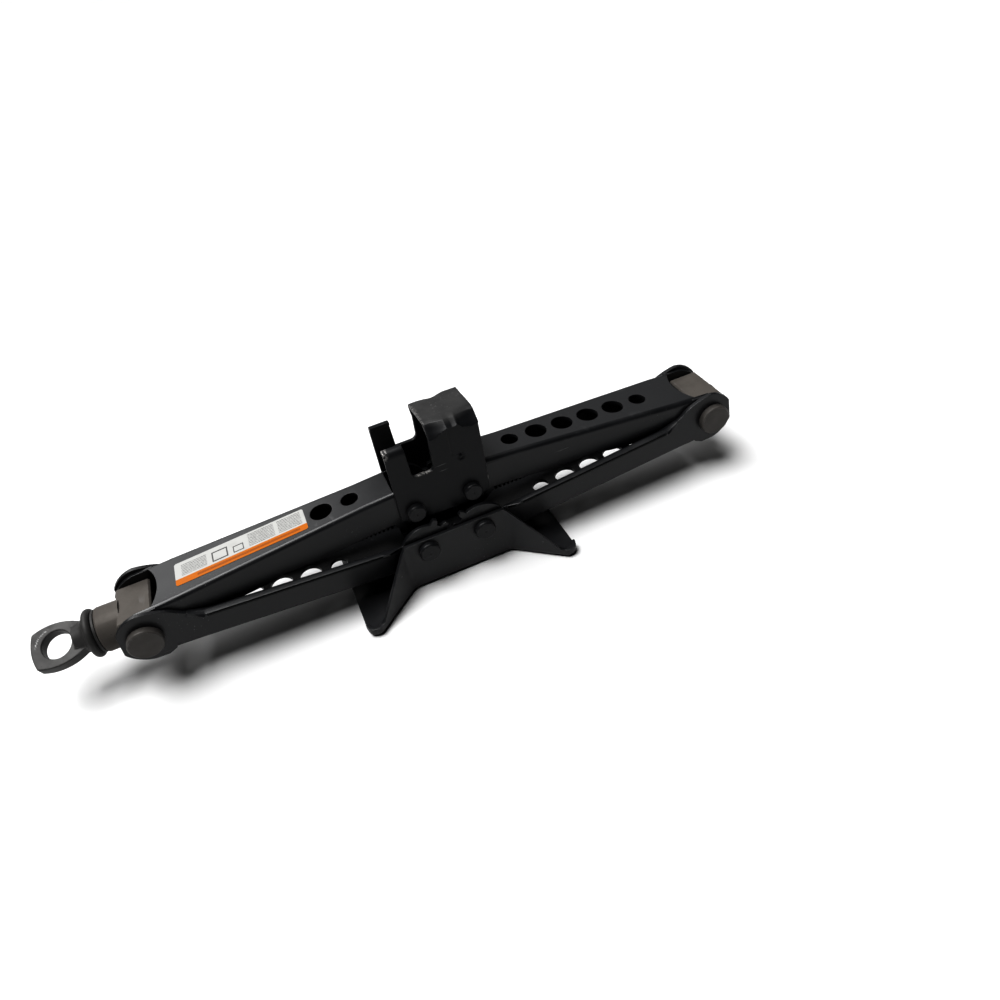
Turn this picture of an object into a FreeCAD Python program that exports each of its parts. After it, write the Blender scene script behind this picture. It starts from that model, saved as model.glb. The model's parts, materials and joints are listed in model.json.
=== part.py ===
import FreeCAD, Part
import math
import os
import Sketcher
from FreeCAD import Placement, Rotation, Vector

# Scissor jack, fully collapsed. Millimetres, +Z up.
# The origin is the middle of the base plate's underside. +X runs along the lifting screw
# towards the nut, so the screw's eye is at -X, and every hinge pin lies along Y.

DIMENSIONS = {
    # linkage
    "pin_offset": 19.5,          # base and saddle pins, from the middle plane
    "base_pin_height": 29.5,
    "arm_length": 178.5,         # pin to pin
    "arm_tilt": 4.1,             # degrees above or below level when collapsed
    "sheet": 2.8,                # thickness of the arms and the base plate
    "running": 0.1,              # radial clearance of a hinge pin
    # gear sectors on the inner ends of the arms
    "tooth_count": 14,           # on a full circle
    "tip_radius": 21.3,
    "root_radius": 17.2,
    "backlash": 0.35,
    # lower arms
    "lower_drop": 15.0,          # web's outer face, from the line through the pins
    "lower_rim": 6.8,            # top of the lips, on the other side of that line
    "lower_ear": 18.6,
    "lower_inner": 22.3,         # half the room between the flanges at the base
    "lower_ear_inner": 20.2,
    "lower_hole_start": 52.6,
    "left_hole_shift": 3.3,      # the left lower arm's holes start further out
    "lower_web_end": 21.0,       # middle of the web's end, before the trunnion pin
    "lip": 2.6,
    "lip_sheet": 2.4,
    "lip_roll": 2.0,
    # upper arms
    "upper_drop": 17.3,
    "upper_rim": 6.0,
    "upper_ear": 17.9,
    "upper_inner": 11.5,
    "upper_ear_inner": 17.1,
    "upper_hole_start": 35.3,
    "upper_web_end": 16.5,
    # both kinds of arm
    "taper_start": 30.0,
    "taper_end": 28.0,           # before the trunnion pin
    "web_start": 9.0,
    "hole_pitch": 19.3,
    "small_hole": 5.7,
    "large_hole": 7.2,
    "bend": 3.4,                 # outer bend radius
    "ear_reach": 14.3,           # square end of an ear, beyond the trunnion pin
    # base plate
    "base_half_length": 74.0,
    "base_half_width": 28.3,     # outside the side walls
    "wall_height": 38.4,
    "wall_half_length": 35.0,
    "flare_x": 66.0,
    "flare_y": 54.5,
    "foot_y": 47.0,
    "foot_rim": 7.0,
    "foot_rim_x": 62.0,
    # saddle bracket
    "saddle_sheet": 2.6,
    "saddle_half_width": 17.2,
    "saddle_top": 113.0,
    "saddle_bottom": 45.4,
    "saddle_left": -29.8,
    "saddle_right": 32.4,
    "tab_top": 107.2,            # far tab
    "near_tab_top": 104.8,
    "tab_right": -16.8,
    "horn_left": -1.6,
    "slot_floor": 81.2,
    "far_slot_floor": 85.4,
    "horn_fold": 4.0,            # outer bend radii
    "far_tab_fold": 4.6,
    "near_tab_fold": 5.4,
    "tab_fold": 6.0,
    # trunnion blocks
    "block_half_width": 16.9,
    "block_half_height": 12.6,
    "block_inner": 9.3,
    "block_outer": 12.2,
    "neck_radius": 14.2,
    "neck_length": 13.3,
    # pins
    "trunnion_pin": 6.0,
    "trunnion_head": 10.8,
    "trunnion_head_width": 4.9,
    "base_pin": 4.4,
    "base_head": 7.1,
    "base_head_width": 3.9,
    "saddle_pin": 4.4,
    "saddle_head": 6.3,
    "saddle_head_width": 4.6,
    # lifting screw
    "rod": 7.0,
    "bush": 9.0,                 # outside of the bearing bush
    "rod_clearance": 0.08,
    "collar": 15.4,
    "collar_width": 5.2,
    "washer": 13.6,
    "washer_width": 1.8,
    "eye_hole": 8.8,
    "eye_thickness": 8.4,
    "eye_centre": 51.0,          # beyond the trunnion pin
    "spigot": 5.0,               # reduced end of the screw inside the forged eye
    "spigot_length": 5.4,
    "eye_tilt": 25.0,            # degrees about the screw
    "stop": 8.2,
    "stop_width": 3.2,
    "stop_pin": 1.0,
    "end_gap": 0.1,
    # label
    "label_start": 65.0,
    "label_length": 85.0,
    "label_half_width": 10.3,
    "label_thickness": 0.15,
}

FAR = 400.0                      # further than anything in the jack reaches
TOOTH_ANGLE = 25.0               # pressure angle, degrees
SECTOR_TEETH = 4


class Size:
    """A number together with the spreadsheet expression that gives it."""

    def __init__(self, text, value):
        self.text = text
        self.value = value

    def __add__(self, other):
        return combine(self, "+", other)

    def __radd__(self, other):
        return combine(other, "+", self)

    def __sub__(self, other):
        return combine(self, "-", other)

    def __rsub__(self, other):
        return combine(other, "-", self)

    def __mul__(self, other):
        return combine(self, "*", other)

    def __rmul__(self, other):
        return combine(other, "*", self)

    def __neg__(self):
        return combine(0, "-", self)


def as_size(number):
    """Give a plain number the same form as a spreadsheet size."""
    if isinstance(number, Size):
        return number
    return Size(f"{number:.6f}", float(number))


def combine(left, sign, right):
    """Add, subtract or multiply two sizes, in value and in expression."""
    left = as_size(left)
    right = as_size(right)
    results = {
        "+": left.value + right.value,
        "-": left.value - right.value,
        "*": left.value * right.value,
    }
    return Size(f"({left.text} {sign} {right.text})", results[sign])


class Sheet:
    """The spreadsheet of driving dimensions, with one attribute for each alias."""

    def __init__(self, doc, dimensions):
        self.table = doc.addObject("Spreadsheet::Sheet", "dims")
        for row, (alias, value) in enumerate(dimensions.items(), start=1):
            self.table.set(f"A{row}", alias)
            self.table.set(f"B{row}", str(value))
            self.table.setAlias(f"B{row}", alias)
            setattr(self, alias, Size(f"dims.{alias}", float(value)))
        doc.recompute()


def add_derived(dimensions):
    """Complete the table with the sizes that follow from the driving ones."""
    tilt = math.radians(dimensions["arm_tilt"])
    rise = dimensions["arm_length"] * math.sin(tilt)
    run = dimensions["arm_length"] * math.cos(tilt)
    root, pitch, tip = tooth_half_widths()
    neck_end = dimensions["block_outer"] + dimensions["neck_length"]
    washer_start = neck_end + dimensions["end_gap"]
    stop_start = dimensions["block_outer"] + 3 * dimensions["end_gap"]
    return dict(
        dimensions,
        trunnion_height=round(dimensions["base_pin_height"] + rise, 3),
        saddle_pin_height=round(dimensions["base_pin_height"] + 2 * rise, 3),
        trunnion_span=round(2 * (dimensions["pin_offset"] + run), 3),
        tooth_root=root,
        tooth_pitch=pitch,
        tooth_tip=tip,
        socket_depth=dimensions["bush"] + 1.5,
        washer_start=washer_start,
        screw_shoulder=washer_start + dimensions["washer_width"] + dimensions["end_gap"],
        stop_start=stop_start,
        stop_middle=stop_start + dimensions["stop_width"] / 2,
        rod_tail=stop_start + dimensions["stop_width"] + 1.3,
    )


def tooth_half_widths():
    """Half thickness of a tooth at its root, pitch and tip circles, on involute flanks."""
    pitch_radius = DIMENSIONS["pin_offset"]
    base_radius = pitch_radius * math.cos(math.radians(TOOTH_ANGLE))

    def involute(radius):
        angle = math.acos(min(1.0, base_radius / radius))
        return math.tan(angle) - angle

    quarter_pitch = math.pi / DIMENSIONS["tooth_count"] / 2
    thinning = DIMENSIONS["backlash"] / 4 / pitch_radius
    at_pitch = quarter_pitch - thinning
    halves = []
    for radius in (max(base_radius, DIMENSIONS["root_radius"]), pitch_radius, DIMENSIONS["tip_radius"]):
        angle = at_pitch + involute(pitch_radius) - involute(radius)
        halves.append(round(radius * math.sin(angle), 4))
    return halves


def bind(thing, path, size):
    """Drive one property of an object from the spreadsheet."""
    size = as_size(size)
    if "dims." in size.text:
        thing.setExpression(path, size.text)


def new_body(doc, label):
    body = doc.addObject("PartDesign::Body", label)
    body.Label = label
    return body


def new_sketch(body, role, offset=None, turn=None):
    """A sketch on one of the body's origin planes, moved along or turned about its normal."""
    sketch = body.newObject("Sketcher::SketchObject", body.Label + "_sketch")
    plane = next(item for item in body.Origin.OriginFeatures if item.Role == role)
    sketch.AttachmentSupport = [(plane, "")]
    sketch.MapMode = "FlatFace"
    if offset is not None:
        sketch.AttachmentOffset = Placement(Vector(0, 0, as_size(offset).value), Rotation())
        bind(sketch, ".AttachmentOffset.Base.z", offset)
    if turn is not None:
        sketch.AttachmentOffset = Placement(Vector(), Rotation(Vector(0, 0, 1), turn))
    return sketch


def hold(sketch, kind, *entries, size):
    """Add a constraint whose value comes from the spreadsheet."""
    index = sketch.addConstraint(Sketcher.Constraint(kind, *entries, as_size(size).value))
    bind(sketch, f"Constraints[{index}]", size)


def place(sketch, geometry, point, corner):
    """Hold a point of the sketch at the given distances from its origin."""
    hold(sketch, "DistanceX", -1, 1, geometry, point, size=corner[0])
    hold(sketch, "DistanceY", -1, 1, geometry, point, size=corner[1])


def bulge_point(start, end, radius):
    """Middle of the arc from start to end; a negative radius bulges to the right."""
    middle = (start + end) * 0.5
    along = end - start
    half = along.Length / 2
    rise = abs(radius) - math.sqrt(radius * radius - half * half)
    left = Vector(-along.y, along.x, 0).normalize()
    return middle + left * math.copysign(rise, radius)


def outline(sketch, corners, arcs=None):
    """Draw a closed outline. arcs gives the radius of the arc that starts at a corner."""
    arcs = arcs or {}
    points = [Vector(as_size(x).value, as_size(y).value, 0) for x, y in corners]
    count = len(points)
    ends = []
    for number, start in enumerate(points):
        end = points[(number + 1) % count]
        if number in arcs:
            radius = as_size(arcs[number])
            arc = Part.Arc(start, bulge_point(start, end, radius.value), end)
            geometry = sketch.addGeometry(arc, False)
            reach = radius if radius.value > 0 else -radius
            hold(sketch, "Radius", geometry, size=reach)
        else:
            geometry = sketch.addGeometry(Part.LineSegment(start, end), False)
        first = 1 if sketch.getPoint(geometry, 1).distanceToPoint(start) < 1e-6 else 2
        ends.append((geometry, first, 3 - first))
    for number, (geometry, first, _) in enumerate(ends):
        before, _, last = ends[number - 1]
        sketch.addConstraint(Sketcher.Constraint("Coincident", before, last, geometry, first))
        place(sketch, geometry, first, corners[number])


def circle(sketch, x, y, radius):
    """Draw a circle by its centre and radius."""
    centre = Vector(as_size(x).value, as_size(y).value, 0)
    ring = Part.Circle(centre, Vector(0, 0, 1), as_size(radius).value)
    geometry = sketch.addGeometry(ring, False)
    place(sketch, geometry, 3, (x, y))
    hold(sketch, "Radius", geometry, size=radius)


def rectangle(sketch, left, bottom, right, top):
    outline(sketch, [(left, bottom), (right, bottom), (right, top), (left, top)])


def extrude(body, kind, sketch, length=None, both=False, backwards=False):
    """Pad or pocket a sketch; without a length it goes through everything."""
    doc = body.Document
    doc.recompute()
    volume = body.Shape.Volume if body.Shape and not body.Shape.isNull() else 0.0
    feature = body.newObject("PartDesign::" + kind, body.Label + "_" + kind.lower())
    feature.Profile = sketch
    if length is None:
        feature.Type = "ThroughAll"
    else:
        feature.Length = as_size(length).value
        bind(feature, "Length", length)
    feature.SideType = "Symmetric" if both else "One side"
    feature.Reversed = backwards
    doc.recompute()
    if abs(feature.Shape.Volume - volume) < 1e-3:
        raise RuntimeError(f"{feature.Name} changes nothing")
    return feature


def pad(body, sketch, length, both=False, backwards=False):
    return extrude(body, "Pad", sketch, length, both, backwards)


def pocket(body, sketch, length=None, both=False, backwards=False):
    return extrude(body, "Pocket", sketch, length, both, backwards)


def revolve(body, sketch, role):
    """Turn a half section through a full circle about one of the body's axes."""
    feature = body.newObject("PartDesign::Revolution", body.Label + "_turned")
    feature.Profile = sketch
    axis = next(item for item in body.Origin.OriginFeatures if item.Role == role)
    feature.ReferenceAxis = (axis, [""])
    feature.Angle = 360.0
    body.Document.recompute()
    return feature


def soften(body, radius, chosen, kind="Fillet"):
    """Fillet or chamfer the edges of the body's last feature that the test picks."""
    base = body.Tip
    names = [f"Edge{i}" for i, edge in enumerate(base.Shape.Edges, start=1) if chosen(edge)]
    if not names:
        raise RuntimeError(f"{body.Label}: no edge to soften")
    feature = body.newObject("PartDesign::" + kind, body.Label + "_" + kind.lower())
    feature.Base = (base, names)
    amount = "Radius" if kind == "Fillet" else "Size"
    setattr(feature, amount, as_size(radius).value)
    bind(feature, amount, radius)
    body.Document.recompute()
    return feature


def all_points(edge, test):
    """Whether a test holds at both ends and the middle of an edge."""
    middle = edge.valueAt((edge.FirstParameter + edge.LastParameter) / 2)
    return all(test(point) for point in [vertex.Point for vertex in edge.Vertexes] + [middle])


def near(a, b, slack=1e-3):
    return abs(a - b) < slack


def add_gear_sector(body, dims, half_width, phase):
    """Root disc and teeth about the arm's inner pin, across the arm's whole width there."""
    disc = new_sketch(body, "XZ_Plane")
    circle(disc, 0, 0, dims.root_radius)
    pad(body, disc, half_width * 2, both=True)
    pitch = 360.0 / DIMENSIONS["tooth_count"]
    first = 180.0 - DIMENSIONS["arm_tilt"] + pitch - phase * pitch
    tooth = new_sketch(body, "XZ_Plane", turn=first)
    outline(tooth, [
        (dims.root_radius - 2, -dims.tooth_root),
        (dims.root_radius + 0.5, -dims.tooth_root),
        (dims.pin_offset, -dims.tooth_pitch),
        (dims.tip_radius, -dims.tooth_tip),
        (dims.tip_radius, dims.tooth_tip),
        (dims.pin_offset, dims.tooth_pitch),
        (dims.root_radius + 0.5, dims.tooth_root),
        (dims.root_radius - 2, dims.tooth_root),
    ])
    feature = pad(body, tooth, half_width * 2, both=True)
    pattern = body.newObject("PartDesign::PolarPattern", body.Label + "_teeth")
    pattern.Originals = [feature]
    axis = next(item for item in body.Origin.OriginFeatures if item.Role == "Y_Axis")
    pattern.Axis = (axis, [""])
    pattern.Angle = pitch * (SECTOR_TEETH - 1)
    pattern.Occurrences = SECTOR_TEETH
    body.Tip = pattern
    body.Document.recompute()


def taper(dims, inner, ear_inner, side, start=-FAR, end=FAR):
    """Points of one flange's face in plan, from the inner pin to the trunnion."""
    return [
        (start, side * inner),
        (dims.taper_start, side * inner),
        (dims.arm_length - dims.taper_end, side * ear_inner),
        (end, side * ear_inner),
    ]


def arm_profile(dims, kind):
    """Side view of an arm's blank: web edge below, flange edge above, both in the arm's frame."""
    length = dims.arm_length
    drop = getattr(dims, kind + "_drop")
    rim = getattr(dims, kind + "_rim")
    ear = getattr(dims, kind + "_ear")
    outer_end = [(0, -drop), (length - 1, -drop), (length - 1, ear - 1)]
    if kind == "lower":
        return outer_end + [(length - 19, ear - 4), (length - 37, rim), (0, rim)], {3: 40.0}
    sloping = [(length - 12, ear - 4.5), (length - 28, rim - 1.4), (102, rim - 1.4), (92, rim - 2.8)]
    return outer_end + sloping + [(60, rim), (0, rim)], {}


def add_ears(body, dims, kind, shoulder):
    """Rounded ears with a square outer end, from the top of the flange edge's slope."""
    length = dims.arm_length
    ear = getattr(dims, kind + "_ear")
    drop = getattr(dims, kind + "_drop")
    reach = length + dims.ear_reach
    ears = new_sketch(body, "XZ_Plane")
    outline(ears, [
        (length - 14.5, 0.5 - drop),
        (length - 9.5, 1.2 - ear),
        (length - 1, 1 - ear),
        (reach, -7),
        (reach, 8.5),
        (length, ear + 0.8),
        shoulder,
    ], arcs={2: -22.0, 4: -19.0, 5: -50.0})
    pad(body, ears, (getattr(dims, kind + "_ear_inner") + dims.sheet) * 2, both=True)


def add_lips(body, dims):
    """Outward lips along a lower arm's flanges, which rise a little into the ears' slopes."""
    outer = dims.lower_inner + dims.sheet
    ear_outer = dims.lower_ear_inner + dims.sheet
    rim = dims.lower_rim
    slope_end = dims.arm_length - 37
    lips = new_sketch(body, "XZ_Plane")
    outline(lips, [
        (19.5, rim - dims.lip_sheet),
        (slope_end + 1, rim - dims.lip_sheet),
        (slope_end + 11, rim + 1),
        (slope_end + 9.6, rim + 3.1),
        (slope_end, rim),
        (19.5, rim),
    ])
    pad(body, lips, (outer + dims.lip) * 2, both=True)
    plan = new_sketch(body, "XY_Plane")
    for side in (-1, 1):
        outline(plan, [
            (-FAR, side * (outer + 0.3)),
            (19, side * (outer + 0.3)),
            (25, side * (outer + dims.lip)),
            (dims.taper_start, side * (outer + dims.lip)),
            (slope_end - 1, side * (ear_outer + dims.lip + 0.2)),
            (slope_end + 12, side * (ear_outer + 0.1)),
            (FAR, side * (ear_outer + 0.1)),
            (FAR, side * FAR),
            (-FAR, side * FAR),
        ])
    pocket(body, plan, 2 * FAR, both=True)


def make_arm(doc, dims, label, kind, phase, hole_start):
    """One arm, pressed from sheet as a channel, lying along +X with its web down."""
    drop = getattr(dims, kind + "_drop")
    inner = getattr(dims, kind + "_inner")
    ear_inner = getattr(dims, kind + "_ear_inner")
    web_end = dims.arm_length - getattr(dims, kind + "_web_end")
    outer = inner + dims.sheet
    ear_outer = ear_inner + dims.sheet
    body = new_body(doc, label)
    side_view = new_sketch(body, "XZ_Plane")
    corners, arcs = arm_profile(dims, kind)
    outline(side_view, corners, arcs)
    pad(body, side_view, (outer + ear_outer) * 2, both=True)

    # Plan view: trim the outside to its taper, bend the web's edges, then open the channel.
    plan = new_sketch(body, "XY_Plane")
    for side in (-1, 1):
        face = taper(dims, outer, ear_outer, side)
        outline(plan, face + [(FAR, side * FAR), (-FAR, side * FAR)])
    pocket(body, plan, 2 * FAR, both=True)

    def on_bend(point):
        return near(point.z, -drop.value) and abs(point.y) > inner.value

    soften(body, dims.bend, lambda edge: all_points(edge, on_bend))
    add_gear_sector(body, dims, outer, phase)
    add_ears(body, dims, kind, corners[3])
    if kind == "lower":
        add_lips(body, dims)
    channel = new_sketch(body, "XY_Plane", offset=dims.sheet - drop)
    outline(channel, taper(dims, inner, ear_inner, -1) + taper(dims, inner, ear_inner, 1)[::-1])
    pocket(body, channel, FAR, backwards=True)
    if kind == "lower":
        roll_lips(body, dims)

    # The web stops short of both pins: square at the gear end, hollowed at the trunnion.
    open_ends = new_sketch(body, "XY_Plane")
    rectangle(open_ends, -FAR, -inner, dims.web_start, inner)
    outline(open_ends, [
        (web_end + 4.5, -ear_inner),
        (FAR, -ear_inner),
        (FAR, ear_inner),
        (web_end + 4.5, ear_inner),
    ], arcs={3: -2 * ear_inner})
    pocket(body, open_ends)
    holes = new_sketch(body, "XY_Plane")
    count = 5 if kind == "lower" else 6
    for number in range(count):
        radius = dims.small_hole if number in (0, count - 1) else dims.large_hole
        circle(holes, hole_start + number * dims.hole_pitch, 0, radius)
    pocket(body, holes)
    bores = new_sketch(body, "XZ_Plane")
    inner_pin = dims.base_pin if kind == "lower" else dims.saddle_pin
    circle(bores, 0, 0, inner_pin + dims.running)
    circle(bores, dims.arm_length, 0, dims.trunnion_pin + dims.running)
    pocket(body, bores, 2 * FAR, both=True)
    return body


def roll_lips(body, dims):
    """Round the inner edge over which each flange turns out into its lip."""
    rim = dims.lower_rim.value
    reach = dims.lower_inner.value + 0.1

    def on_roll(point):
        return near(point.z, rim) and abs(point.y) < reach

    soften(body, dims.lip_roll, lambda edge: edge.Length > 20 and all_points(edge, on_roll))


def is_upright(edge):
    """Whether an edge runs straight up."""
    start = edge.Vertexes[0].Point
    return all_points(edge, lambda p: near(p.x, start.x) and near(p.y, start.y))


def make_base_plate(doc, dims):
    """Base plate: a pressed tray whose side walls run out into four low feet."""
    body = new_body(doc, "base_plate")
    quarter = [
        (dims.wall_half_length, dims.base_half_width),
        (dims.flare_x, dims.flare_y),
        (dims.base_half_length - 1.5, dims.flare_y - 1.5),
        (dims.base_half_length, dims.foot_y),
    ]
    corners = []
    for across, along, order in ((1, 1, 1), (1, -1, -1), (-1, -1, 1), (-1, 1, -1)):
        corners += [(across * x, along * y) for x, y in quarter[::order]]
    floor = new_sketch(body, "XY_Plane")
    outline(floor, corners)
    pad(body, floor, dims.wall_height)
    wall_end = dims.wall_half_length.value
    tray_end = dims.base_half_length.value
    soften(body, 9, lambda edge: is_upright(edge) and near(abs(edge.Vertexes[0].X), wall_end))
    soften(body, 4, lambda edge: is_upright(edge) and abs(edge.Vertexes[0].X) > dims.flare_x.value - 1)
    soften(body, dims.bend, lambda edge: all_points(edge, lambda p: near(p.z, 0)))
    # Inside of the tray, open at both ends, where only the feet keep a rim.
    inside = [
        (dims.wall_half_length + 1, dims.base_half_width - dims.sheet),
        (dims.flare_x + 0.7, dims.flare_y - dims.sheet - 0.2),
        (dims.base_half_length - dims.sheet - 1, dims.flare_y - dims.sheet - 1.1),
        (dims.base_half_length - dims.sheet, dims.foot_y - 0.4),
        (FAR, dims.foot_y - 0.4),
    ]
    corners = []
    for across, along, order in ((1, 1, 1), (1, -1, -1), (-1, -1, 1), (-1, 1, -1)):
        corners += [(across * x, along * y) for x, y in inside[::order]]
    tray = new_sketch(body, "XY_Plane", offset=dims.sheet)
    outline(tray, corners)
    pocket(body, tray, FAR, backwards=True)
    wall_face = (dims.base_half_width - dims.sheet).value
    soften(body, 9 + dims.sheet, lambda edge: is_upright(edge) and near(abs(edge.Vertexes[0].Y), wall_face))

    def in_tray_corner(point):
        on_floor = near(point.z, dims.sheet.value)
        return on_floor and abs(point.y) > wall_face - 0.1 and abs(point.x) < tray_end - 1

    soften(body, 0.8, lambda edge: all_points(edge, in_tray_corner))

    # Side view: the walls slope down from the pins to the low rim round the feet.
    slope = new_sketch(body, "XZ_Plane")
    for side in (-1, 1):
        outline(slope, [
            (side * FAR, dims.foot_rim),
            (side * dims.foot_rim_x, dims.foot_rim),
            (side * dims.wall_half_length, dims.wall_height),
            (side * dims.wall_half_length, FAR),
            (side * FAR, FAR),
        ])
    pocket(body, slope, 2 * FAR, both=True)
    holes = new_sketch(body, "XZ_Plane")
    for side in (-1, 1):
        circle(holes, side * dims.pin_offset, dims.base_pin_height, dims.base_pin)
    pocket(body, holes, 2 * FAR, both=True)
    return body


def saddle_inside(within, near_under, far_under, folded=None):
    """Section between the saddle's plates; folded is how far in the tabs' tops reach."""
    corners = [(-within, -FAR), (within, -FAR), (within, far_under - 2), (within - 2, far_under)]
    if folded is not None:
        corners += [(folded, far_under), (folded, FAR), (-folded, FAR), (-folded, near_under)]
    return corners + [(2 - within, near_under), (-within, near_under - 2)]


def make_saddle(doc, dims):
    """Saddle bracket: two plates joined over the top of the tall horn."""
    body = new_body(doc, "saddle_bracket")
    side_view = new_sketch(body, "XZ_Plane")
    corner = 5
    outline(side_view, [
        (dims.saddle_left + corner, dims.saddle_bottom),
        (-15.5, dims.saddle_bottom),
        (-13.5, dims.saddle_bottom + 1.6),
        (13.5, dims.saddle_bottom + 0.6),
        (dims.saddle_right - corner - 1, dims.saddle_bottom + 0.6),
        (dims.saddle_right - 1, dims.saddle_bottom + 0.6 + corner),
        (dims.saddle_right, dims.saddle_bottom + 16),
        (dims.saddle_right, dims.saddle_top),
        (dims.horn_left + 1.2, dims.saddle_top),
        (dims.horn_left, dims.slot_floor + 1.8),
        (dims.horn_left - 1.8, dims.slot_floor),
        (dims.tab_right + 2.2, dims.slot_floor),
        (dims.tab_right + 0.9, dims.slot_floor + 3),
        (dims.tab_right, dims.tab_top),
        (dims.saddle_left, dims.tab_top),
        (dims.saddle_left, dims.saddle_bottom + corner),
    ], arcs={4: 5.0, 15: 5.0})
    pad(body, side_view, dims.saddle_half_width * 2, both=True)
    shorter_tab = new_sketch(body, "XZ_Plane")
    rectangle(shorter_tab, -FAR, dims.near_tab_top, dims.tab_right + 1, FAR)
    pocket(body, shorter_tab, backwards=True)

    # Folds along the top of the horn and of the two tabs.
    width = dims.saddle_half_width.value
    folds = (
        (dims.horn_fold, dims.saddle_top.value, (-width, width)),
        (dims.far_tab_fold, dims.tab_top.value, (width,)),
        (dims.near_tab_fold, dims.near_tab_top.value, (-width,)),
    )
    for radius, top, sides in folds:
        def on_fold(point):
            return near(point.z, top) and any(near(point.y, side) for side in sides)

        soften(body, radius, lambda edge: all_points(edge, on_fold))

    # Inside of the horn, open downwards, and of the tabs, open between their folds.
    within = dims.saddle_half_width - dims.saddle_sheet
    horn_under = dims.saddle_top - dims.saddle_sheet
    far_under = dims.tab_top - dims.saddle_sheet
    near_under = dims.near_tab_top - dims.saddle_sheet
    folded = dims.saddle_half_width - dims.tab_fold
    sections = (
        (saddle_inside(within, horn_under, horn_under), True),
        (saddle_inside(within, near_under, far_under, folded), False),
    )
    for corners, backwards in sections:
        hollow = new_sketch(body, "YZ_Plane", offset=dims.horn_left - 5)
        outline(hollow, corners, arcs={2: -2.0, len(corners) - 2: -2.0})
        pocket(body, hollow, FAR, backwards=backwards)

    # The far plate's slot is shallower than the near one's, with a round corner at the horn.
    bridge = new_sketch(body, "XZ_Plane", offset=-dims.saddle_half_width)
    rectangle(bridge, dims.tab_right - 1, dims.slot_floor - 3, dims.horn_left + 1.5, dims.far_slot_floor)
    pad(body, bridge, dims.saddle_sheet)

    def in_slot_corner(edge):
        ends = [vertex.Point for vertex in edge.Vertexes]
        on_floor = all(near(end.z, dims.far_slot_floor.value) for end in ends)
        return on_floor and near(ends[0].x, ends[-1].x) and abs(ends[0].x - dims.horn_left.value) < 1

    soften(body, 4, in_slot_corner)
    bores = new_sketch(body, "XZ_Plane")
    for side in (-1, 1):
        circle(bores, side * dims.pin_offset, dims.saddle_pin_height, dims.saddle_pin)
    pocket(body, bores, 2 * FAR, both=True)
    return body


def make_trunnion(doc, dims, label, bore, with_neck):
    """Block between the arms' ears, along +X outwards, with the screw's bore through it."""
    body = new_body(doc, label)
    side_view = new_sketch(body, "XZ_Plane")
    high = dims.block_half_height
    rectangle(side_view, -dims.block_inner, -high, dims.block_outer, high)
    pad(body, side_view, dims.block_half_width * 2, both=True)
    soften(body, 1.2, lambda edge: True, "Chamfer")
    if with_neck:
        neck = new_sketch(body, "YZ_Plane", offset=dims.block_outer - 2)
        circle(neck, 0, 0, dims.neck_radius)
        pad(body, neck, dims.neck_length + 2)
        end = dims.block_outer.value + dims.neck_length.value
        soften(body, 1.5, lambda edge: all_points(edge, lambda p: near(p.x, end)))
    through = new_sketch(body, "YZ_Plane")
    circle(through, 0, 0, bore)
    pocket(body, through, 2 * FAR, both=True)
    # Blind sockets for the two stub pins, which stop short of the screw.
    for side, backwards in ((1, True), (-1, False)):
        socket = new_sketch(body, "XZ_Plane", offset=side * dims.socket_depth)
        circle(socket, 0, 0, dims.trunnion_pin)
        pocket(body, socket, FAR, backwards=backwards)
    return body


def make_stub_pin(doc, dims, label):
    """Trunnion pin along -Y: a shank pressed into the block and a broad chamfered head."""
    body = new_body(doc, label)
    section = new_sketch(body, "YZ_Plane")
    seat = dims.lower_ear_inner + dims.sheet + 0.15
    face = seat + dims.trunnion_head_width
    outline(section, [
        (-dims.socket_depth, 0),
        (-dims.socket_depth, dims.trunnion_pin),
        (-seat, dims.trunnion_pin),
        (-seat, dims.trunnion_head),
        (0.9 - face, dims.trunnion_head),
        (-face, dims.trunnion_head - 0.9),
        (-face, 0),
    ])
    revolve(body, section, "Y_Axis")
    return body


def make_rivet(doc, dims, label, shank, half_grip, head, head_width):
    """Rivet along Y with a domed-edge head at each end and a centre mark in each head."""
    body = new_body(doc, label)
    section = new_sketch(body, "YZ_Plane")
    face = half_grip + head_width
    mark = 1.1
    outline(section, [
        (-face + 0.5, 0),
        (-face, mark),
        (-face, head - 1),
        (1.2 - face, head),
        (-half_grip, head),
        (-half_grip, shank),
        (half_grip, shank),
        (half_grip, head),
        (face - 1.2, head),
        (face, head - 1),
        (face, mark),
        (face - 0.5, 0),
    ])
    revolve(body, section, "Y_Axis")
    return body


def make_screw(doc, dims):
    """Lifting screw along X, from its tail at the nut to the spigot inside the forged eye."""
    body = new_body(doc, "lifting_screw")
    tail = dims.trunnion_span + dims.rod_tail
    shoulder = -dims.screw_shoulder
    section = new_sketch(body, "XZ_Plane")
    outline(section, [
        (tail, 0),
        (tail, dims.rod - 1),
        (tail - 1, dims.rod),
        (shoulder, dims.rod),
        (shoulder, dims.spigot),
        (shoulder - dims.spigot_length, dims.spigot),
        (shoulder - dims.spigot_length, 0),
    ])
    revolve(body, section, "X_Axis")
    cross = new_sketch(body, "XY_Plane")
    circle(cross, dims.trunnion_span + dims.stop_middle, 0, dims.stop_pin)
    pocket(body, cross, 2 * FAR, both=True)
    return body


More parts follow.
